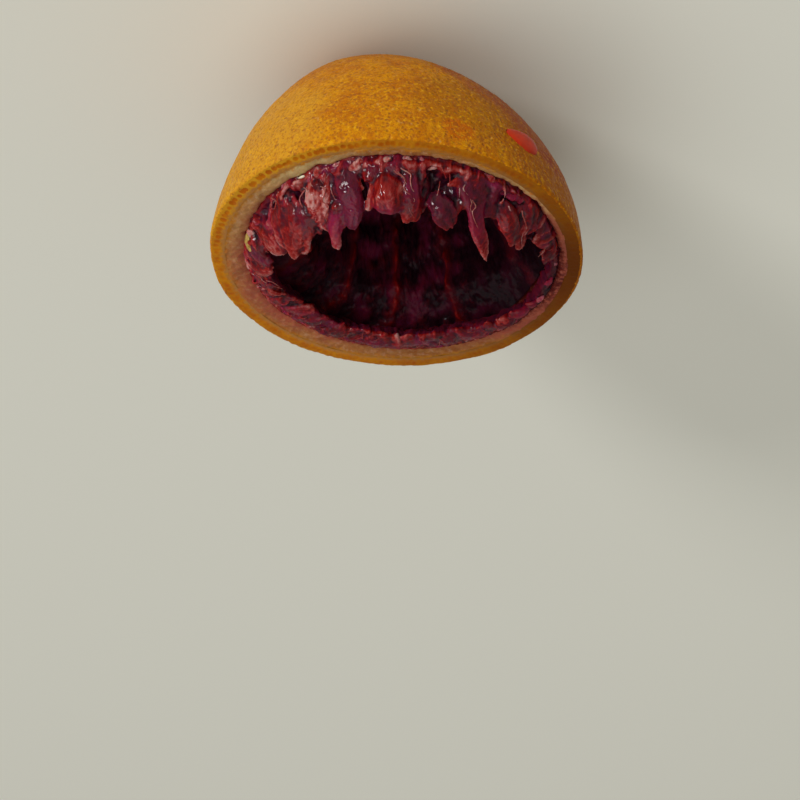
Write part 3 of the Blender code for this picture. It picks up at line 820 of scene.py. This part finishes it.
# path of (turn, millimetres from the pith, lift), half widths, thickness, tones and violets
TONGUES = (
    (((48, 1.6, -0.4), (50, 4.5, 0.5), (53, 8.0, 0.8), (57, 11.0, 0.1)),
     (2.0, 3.3, 3.9, 2.5), 0.4, (0.3, 0.46, 0.6, 0.72), (0.1, 0.0, 0.0, 0.0)),
    (((71, 0.3, -0.3), (69, 3.0, 0.4), (66, 6.0, 0.6), (62, 9.4, 0.2)),
     (1.4, 2.3, 2.5, 1.5), 0.3, (0.35, 0.66, 0.7, 0.7), (0.1, 0.0, 0.0, 0.0)),
    (((57, 1.4, 0.2), (61, 3.6, 1.0), (65, 6.2, 0.9)),
     (0.4, 0.6, 0.4), 0.6, (0.55, 0.8, 0.88), (0.6, 0.5, 0.2)),
    (((43, 3.8, -0.5), (41, 6.0, 0.5), (43, 9.8, 0.1)),
     (1.5, 2.5, 1.8), 0.5, (0.22, 0.34, 0.44), (0.2, 0.1, 0.0)),
    (((31, 1.2, 0.2), (33, 3.6, 1.0), (34, 7.0, 1.2), (34, 10.6, 0.4)),
     (1.1, 1.9, 1.8, 0.8), 0.33, (0.62, 0.86, 0.84, 0.72), (0.1, 0.0, 0.0, 0.0)),
    (((28, 2.2, 0.6), (29, 5.0, 1.0), (32, 9.4, 0.6)),
     (0.5, 0.6, 0.5), 0.6, (0.7, 0.68, 0.66), (0.0, 0.0, 0.0)),
    (((22, 5.0, 0.0), (25, 8.0, 0.7), (30, 11.0, 0.8), (33, 14.6, 0.2)),
     (1.4, 1.6, 1.4, 0.9), 0.45, (0.24, 0.36, 0.58, 0.66), (0.3, 0.9, 0.7, 0.1)),
    (((21, 1.6, -0.2), (20, 4.5, 0.7), (20, 8.0, 0.7), (22, 12.0, 0.1)),
     (1.8, 2.3, 1.9, 1.1), 0.5, (0.3, 0.27, 0.3, 0.18), (0.3, 0.3, 0.5, 0.3)),
    (((6, 3.2, 0.2), (9, 5.8, 0.7), (13.5, 9.0, 0.2)),
     (0.8, 1.3, 0.7), 0.45, (0.72, 0.72, 0.74), (0.0, 0.0, 0.0)),
    (((-3, 2.4, 0.2), (-4.5, 5.5, 0.9), (-5, 8.2, 1.1), (-6, 11.3, 0.3)),
     (1.2, 1.8, 2.1, 1.5), 0.5, (0.4, 0.34, 0.48, 0.58), (0.3, 0.5, 0.1, 0.0)),
    (((-15, 5.4, -0.8), (-17, 7.4, 0.5), (-20, 9.2, 0.7), (-24.5, 10.9, 0.1)),
     (1.0, 2.0, 2.0, 1.0), 0.55, (0.1, 0.24, 0.3, 0.44), (0.2, 0.3, 0.2, 0.0)),
    (((-24, 1.2, -0.2), (-28, 3.6, 0.5), (-32, 7.0, 0.7), (-36, 9.6, 0.7), (-42, 11.4, 0.5),
      (-50, 13.6, 0.2)), (2.2, 2.7, 1.6, 1.4, 1.2, 0.5), 0.42, (0.28, 0.3, 0.36, 0.52, 0.6, 0.76),
     (0.2, 0.3, 0.5, 0.5, 0.1, 0.0)),
    (((-41, 3.2, -0.3), (-45, 4.6, 0.8), (-50, 6.4, 0.9), (-56, 7.9, 0.2)),
     (1.1, 1.8, 1.8, 1.0), 0.6, (0.25, 0.42, 0.44, 0.52), (0.1, 0.0, 0.0, 0.0)),
    (((-50, 2.8, 0.0), (-53, 4.6, 0.8), (-57, 6.2, 0.8), (-61, 7.8, 0.2)),
     (0.8, 1.3, 1.3, 0.7), 0.5, (0.4, 0.5, 0.56, 0.72), (0.0, 0.0, 0.0, 0.0)),
    (((-50, 0.6, 0.2), (-54, 2.0, 0.8), (-58, 3.8, 0.3)),
     (1.4, 1.9, 1.3), 0.5, (0.35, 0.42, 0.36), (0.1, 0.0, 0.1)),
    (((-60, 0.4, 0.0), (-65, 1.5, 0.6), (-71, 1.8, 0.2)),
     (1.2, 1.6, 1.0), 0.5, (0.2, 0.22, 0.34), (0.4, 0.4, 0.2)),
    (((80, 0.4, -0.3), (82, 3.0, 0.6), (79, 7.0, 0.4)),
     (1.4, 1.8, 1.2), 0.5, (0.15, 0.22, 0.34), (0.4, 0.4, 0.2)),
    (((92, 0.2, -0.3), (90, 3.4, 0.7), (85, 7.4, 0.3)),
     (1.3, 1.9, 1.2), 0.45, (0.35, 0.54, 0.66), (0.1, 0.0, 0.0)),
    (((101, 0.2, -0.2), (102, 2.6, 0.6), (100, 4.8, 0.3)),
     (1.2, 1.5, 0.9), 0.5, (0.3, 0.5, 0.56), (0.8, 0.4, 0.0)),
    (((112, 0.2, -0.2), (110, 2.6, 0.6), (106, 5.2, 0.2)),
     (1.2, 1.5, 1.0), 0.5, (0.5, 0.56, 0.48), (0.0, 0.0, 0.3)),
    (((122, 0.2, -0.2), (120, 2.4, 0.6), (117, 4.6, 0.3)),
     (1.4, 1.8, 1.2), 0.5, (0.4, 0.46, 0.62), (0.3, 0.3, 0.1)),
)
tongues = [pulp_bag(*row, seed) for seed, row in enumerate(TONGUES)]
BACK_TONGUES = 44
draw = random.Random(5)
for index in range(BACK_TONGUES):
    turn = wrapped(128.0 + 172.0 * index / (BACK_TONGUES - 1) + draw.uniform(-2.5, 2.5))
    bare = scoured_at(math.radians(turn))
    if draw.random() < bare:
        continue
    reach = draw.uniform(4.0, 8.5) * (1.0 - 0.7 * bare)
    half = draw.uniform(0.9, 2.0)
    lean = draw.uniform(-5.0, 5.0)
    path = ((turn, 0.2, -0.4), (turn + 0.4 * lean, 0.5 * reach, draw.uniform(0.1, 0.9)),
            (turn + lean, reach, draw.uniform(-0.4, 0.4)))
    tones = (draw.uniform(0.2, 0.5), draw.uniform(0.25, 0.6), draw.uniform(0.35, 0.8))
    violet = draw.uniform(0.0, 0.6)
    tongues.append(pulp_bag(path, (half * 0.8, half, half * 0.6), draw.uniform(0.4, 0.6), tones,
                            (violet, violet, 0.0), 100 + index, rings=24, around=22))


# Juice sacs. The few whole sacs that the reamer missed: smooth, tight and glossy teardrops. Small torn
# scraps and strands lie between them, and all of it is melted with the curtain into one wet mass.
sacs = [
    pulp_bag(((5.5, 2.8, 0.2), (4.5, 5.0, 1.1), (4, 7.4, 1.3), (4.2, 9.9, 0.3)), (1.4, 2.4, 2.8, 2.2), 0.75,
             (0.50, 0.62, 0.60, 0.40), (0.0, 0.0, 0.0, 0.9), 301, folds=0.04, ragged=0.1, around=40),
    pulp_bag(((-43, 3.6, 0.4), (-46, 5.0, 1.1), (-49, 6.6, 0.9)), (0.9, 1.5, 1.2), 0.8,
             (0.40, 0.52, 0.50), (0.0, 0.0, 0.2), 302, folds=0.05, ragged=0.2),
    pulp_bag(((50, 5.6, 0.8), (52, 8.0, 1.4), (55, 9.8, 0.9)), (1.4, 2.3, 1.6), 0.55,
             (0.55, 0.60, 0.66), (0.0, 0.0, 0.0), 303, folds=0.08, ragged=0.3),
]
SCRAPS, STRANDS = 64, 50
draw = random.Random(23)
scraps = []
for index in range(SCRAPS):
    turn = draw.uniform(-76.0, 118.0)
    start = draw.uniform(0.0, 0.6) * free_edge(turn)
    if -22.0 < turn < -7.0 or 54.0 < turn < 66.0 and start < 2.5:
        continue
    reach = draw.uniform(1.6, 4.2)
    lean = draw.uniform(-7.0, 7.0)
    path = ((turn, start, 0.0), (turn + 0.4 * lean, start + 0.5 * reach, draw.uniform(0.7, 1.7)),
            (turn + lean, start + reach, draw.uniform(0.2, 1.2)))
    half = draw.uniform(0.35, 1.1)
    base = draw.uniform(0.18, 0.62)
    violet = draw.uniform(0.0, 0.6) if draw.random() < 0.4 else 0.0
    scraps.append(pulp_bag(path, (half * 0.8, half, half * 0.5), draw.uniform(0.35, 0.6),
                           (base, base + 0.1, base + draw.uniform(0.0, 0.2)), (violet, violet, 0.0),
                           500 + index, rings=22, around=20))
strands = []
for index in range(STRANDS):
    turn = draw.uniform(-74.0, 112.0)
    if -20.0 < turn < -9.0 or 53.0 < turn < 67.0:
        continue
    reach, lean, high = draw.uniform(1.8, 4.8), draw.uniform(-8.0, 8.0), draw.uniform(0.8, 2.0)
    path = ((turn, -0.2, 0.2), (turn + 0.3 * lean, 0.3 * reach, high),
            (turn + 0.7 * lean, 0.7 * reach, high), (turn + lean, reach, 0.3))
    half = draw.uniform(0.14, 0.42)
    pale = draw.uniform(0.40, 0.84)
    strands.append(pulp_bag(path, (2.0 * half, half, 0.8 * half, half), 0.7, (pale, pale, pale, pale - 0.1),
                            (0.3, 0.2, 0.1, 0.1), 900 + index, rings=24, around=14))
mass = [curtain] + tongues + sacs + scraps + strands
joined_piece("hanging_pulp", mass, pulp_material("hanging_pulp"), 0.26 * MM)


# Fringe. Small curled flakes of membrane, salmon to pink or violet, left where the flesh tore from the
# pith. Each is rooted under the pith's inner edge, and those that touch are stuck together by juice.
FLAKES = 210
draw = random.Random(8)
flakes = []
for index in range(FLAKES):
    turn = -180.0 + 360.0 * index / FLAKES + draw.uniform(-1.2, 1.2)
    bare = scoured_at(math.radians(turn))
    if draw.random() < 0.9 * bare or draw.random() < 0.2 or 53.0 < turn < 66.0:
        continue
    reach, lean, high = draw.uniform(0.5, 2.2), draw.uniform(-7.0, 7.0), draw.uniform(0.3, 1.0)
    path = ((turn, 0.0, -0.2), (turn + 0.3 * lean, 0.5 * reach, high), (turn + lean, reach, 0.5 * high))
    half = draw.uniform(0.30, 1.00)
    pale = draw.uniform(0.34, 0.92) if turn < -20.0 or turn > 120.0 else draw.uniform(0.56, 1.05)
    violet = 0.8 if draw.random() < (0.5 if turn < -20.0 else 0.25) else 0.0
    flakes.append(pulp_bag(path, (half, half, half * 0.5), draw.uniform(0.3, 0.5), (pale, pale, 0.8 * pale),
                           (violet, violet, violet), 400 + index, rings=12, around=12))
joined_piece("fringe", flakes, pulp_material("fringe"), 0.16 * MM)


# Fibres. Fine pale threads of membrane, torn from the segment walls. The longer ones wander down over
# the biggest tongues, stuck to them by juice, and shorter ones are scattered all round the mouth.
# each thread is a path of (turn, millimetres from the pith, lift)
THREADS = (
    ((48, 0.2, 0.6), (47, 1.2, 1.2), (49, 2.2, 1.0)), ((38, 2.4, 0.8), (42, 5.2, 1.2), (48, 7.4, 1.4)),
    ((52, 0.2, 0.6), (53, 2.0, 1.1), (56, 4.6, 1.3)),
    ((2, 0.4, 0.7), (-1, 3.9, 1.4), (-5, 7.3, 2.0), (-6, 10.6, 1.3)),
    ((3, 0.2, 0.8), (1, 2.4, 1.3), (-2.5, 5.6, 1.7), (-3.5, 9.0, 1.7)),
    ((0, 1.0, 0.7), (-4, 4.0, 1.6), (-8, 8.6, 1.5)), ((-26, 3.6, 1.0), (-29, 6.0, 1.5), (-34, 9.4, 1.4)),
    ((-24, 3.0, 1.0), (-27, 5.6, 1.5), (-31, 7.2, 1.5)),
    ((-44, 3.2, 1.3), (-47, 5.0, 2.0), (-52, 7.2, 1.3)),
    ((-50, 2.4, 1.2), (-54, 4.6, 1.8), (-60, 7.4, 0.8)), ((30, 2.6, 1.2), (29.5, 5.6, 1.6), (32, 9.6, 1.1)),
    ((36, 2.0, 0.9), (37, 4.6, 1.2), (36, 8.4, 1.3)), ((100, 1.0, -0.6), (99, 4.0, 0.2), (97, 8.0, -0.6)),
    ((104, 1.0, -0.4), (103, 4.0, 0.4), (102, 7.6, -0.8)),
)
THREAD_LIFT, THREAD_WANDER = 0.50, 1.3
threads = []
for seed, path in enumerate(THREADS):
    path = smooth_path(path, 7)
    path[:, 0] += THREAD_WANDER * np.sin(1.9 * path[:, 1] + seed)
    path[:, 2] += THREAD_LIFT
    threads.append(pulp_bag(path, (0.11, 0.10, 0.05), 1.0, (0.86, 0.82, 0.78), (0.0, 0.0, 0.0), 700 + seed,
                            rings=40, around=7))
FRONT_THREADS, BACK_THREADS = 40, 20
draw = random.Random(17)
for index in range(FRONT_THREADS + BACK_THREADS):
    turn = draw.uniform(-75.0, 120.0) if index < FRONT_THREADS else draw.uniform(130.0, 230.0)
    start, reach, lean = draw.uniform(0.2, 4.0), draw.uniform(1.0, 3.6), draw.uniform(-4.0, 4.0)
    path = ((turn, start, 0.6), (turn + 0.4 * lean, start + 0.5 * reach, draw.uniform(1.2, 1.9)),
            (turn + lean, start + reach, draw.uniform(0.5, 1.3)))
    pale = draw.uniform(0.6, 0.9)
    threads.append(pulp_bag(path, (0.08, 0.07, 0.04), 1.0, (pale, pale, pale), (0.0, 0.0, 0.0), 800 + index,
                            rings=16, around=6))
joined_piece("fibres", threads, pulp_material("fibres"))


# Pith shreds. Two soft yellow threads of pith, torn loose by the reamer. Juice holds them on the pulp
# on the +X side, where each arches over a fold.
material, shader, node = new_material("pith_shreds")
patchy = eased(node, mottling(node, 0.6 * MM, 3.0, 0.6), 0.35, 0.65)
join(mixed(node, patchy, (0.46, 0.34, 0.090), (0.30, 0.150, 0.035)), shader.inputs["Base Color"])
shader.inputs["Roughness"].default_value = 0.5
shader.inputs["Specular IOR Level"].default_value = 0.1
bumped(node, shader, mottling(node, 0.4 * MM, 3.0, 0.6), 0.10 * MM)
SHREDS = (
    ((77, 0.0, 0.2), (79, 0.8, 1.5), (82, 1.2, 1.6), (86, 1.0, 0.8)),
    ((80, 0.8, 0.8), (82, 1.9, 1.6), (84, 2.6, 1.2)),
)
shreds = [pulp_bag(path, (0.5, 0.7, 0.6, 0.3), 0.35, (0.5, 0.5), (0.0, 0.0), 950 + seed, folds=0.2,
                   rings=24, around=18) for seed, path in enumerate(SHREDS)]
joined_piece("pith_shreds", shreds, material)


# Juice drop. A run of juice that has stopped as a bead on the skin, and a fleck of pith left on the
# cut. Both are soft beads drawn out at one end, and nothing but their own wetness holds them there.
BEAD_STEPS = 24


def bead(name, middle, reach, width, height, colour, roughness):
    """A low bead lying on the fruit, drawn out to a tail at the end its reach starts from."""
    middle, reach = Vector(middle), Vector(reach)
    outward = Vector((middle.x, middle.y, 0.35 * (middle.z - 20 * MM))).normalized()
    aside = reach.cross(outward).normalized()
    rows = []
    for share in np.arange(1, BEAD_STEPS + 1) / (BEAD_STEPS + 1):
        size = math.sin(math.pi * share) ** 0.6 * (0.45 + 0.55 * share)
        row = []
        for angle in all_round(BEAD_STEPS)[0]:
            offset = aside * (width * size * math.cos(angle)) + outward * (height * size * math.sin(angle))
            row.append(tuple(middle + reach * (share - 0.5) + offset))
        rows.append(row)
    piece = sheet_object(name, np.array(rows))
    material, shader, node = new_material(name)
    patchy = eased(node, mottling(node, 1.4 * MM, 2.0), 0.35, 0.65)
    darker = tuple(0.8 * channel for channel in colour)
    join(mixed(node, patchy, colour, darker), shader.inputs["Base Color"])
    shader.inputs["Roughness"].default_value = roughness
    lit_through(shader, 0.3, 0.2, (1.0, 0.2, 0.1), 1.0 * MM)
    piece.data.materials.append(material)
    add_to_half(piece)


bead("juice_drop", (-21.7 * MM, -26.2 * MM, CUT - 8.4 * MM), (-6.2 * MM, 5.0 * MM, 0.9 * MM),
     2.5 * MM, 1.0 * MM, (0.55, 0.030, 0.002), 0.22)
bead("pith_fleck", (17.6 * MM, -23.4 * MM, CUT + 0.1 * MM), (-1.3 * MM, -0.9 * MM, 0.0),
     0.32 * MM, 0.35 * MM, (0.75, 0.68, 0.50), 0.5)


# Studio. A pale matt floor that runs out of sight, a low soft sun from the front, one softbox overhead,
# and a camera that looks into the mouth from the front, turned over so that the dome is above the mouth.
SWEEP = 3.0
floor_mesh = bpy.data.meshes.new("floor")
floor_mesh.from_pydata([(-SWEEP, -SWEEP, 0), (SWEEP, -SWEEP, 0), (SWEEP, SWEEP, 0), (-SWEEP, SWEEP, 0)], [],
                       [(0, 1, 2, 3)])
floor = bpy.data.objects.new("floor", floor_mesh)
bpy.context.scene.collection.objects.link(floor)
material, shader, node = new_material("floor")
shader.inputs["Base Color"].default_value = (0.80, 0.795, 0.70, 1.0)
shader.inputs["Roughness"].default_value = 0.9
floor.data.materials.append(material)
floor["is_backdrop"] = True

world = bpy.data.worlds.new("studio")
bpy.context.scene.world = world
world.use_nodes = True
sky = world.node_tree.nodes["Background"]
sky.inputs["Color"].default_value = (0.52, 0.51, 0.48, 1.0)
sky.inputs["Strength"].default_value = 0.58


def lamp_toward(name, kind, direction, energy):
    """A light that shines along a direction."""
    lamp = bpy.data.objects.new(name, bpy.data.lights.new(name, kind))
    lamp.data.energy = energy
    lamp.rotation_mode = "QUATERNION"
    lamp.rotation_quaternion = Vector(direction).to_track_quat("-Z", "Y")
    bpy.context.scene.collection.objects.link(lamp)
    return lamp


key = lamp_toward("key", "SUN", (-0.58, 0.66, -0.20), 1.85)
key.data.angle = math.radians(16.0)
SOFTBOX_PLACE, SOFTBOX_SIZE = Vector((0.42, -0.30, 1.12)), 1.3
overhead = lamp_toward("overhead", "AREA", Vector((0.0, 0.0, 0.5 * CUT)) - SOFTBOX_PLACE, 6.0)
overhead.location = SOFTBOX_PLACE
overhead.data.shape = "RECTANGLE"
overhead.data.size, overhead.data.size_y = SOFTBOX_SIZE, SOFTBOX_SIZE

TILT, ROLL, DISTANCE, LENS = math.radians(37.4), math.radians(2.63), 0.4190, 100.0
AIM_DOWN, AIM_RIGHT = 26.3 * MM, 0.80 * MM
mouth = Vector((0.0, 0.0, CUT))
toward_camera = Vector((0.0, -math.cos(TILT), math.sin(TILT)))
# the view's right and down, turned over and rolled a little more
hang = Vector((0.0, math.sin(TILT), math.cos(TILT)))
view_right = Vector((-math.cos(ROLL), 0.0, 0.0)) - hang * math.sin(ROLL)
view_down = Vector((-math.sin(ROLL), 0.0, 0.0)) + hang * math.cos(ROLL)
camera = bpy.data.objects.new("camera", bpy.data.cameras.new("camera"))
camera.data.lens = LENS
camera.location = mouth + toward_camera * DISTANCE
aim = mouth + view_down * AIM_DOWN + view_right * AIM_RIGHT
back = (camera.location - aim).normalized()
right = (view_right - back * view_right.dot(back)).normalized()
up = back.cross(right)
camera.rotation_mode = "QUATERNION"
camera.rotation_quaternion = Matrix((right, up, back)).transposed().to_quaternion()
bpy.context.scene.collection.objects.link(camera)
bpy.context.scene.camera = camera
bpy.context.scene.view_settings.view_transform = "Standard"

low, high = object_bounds()
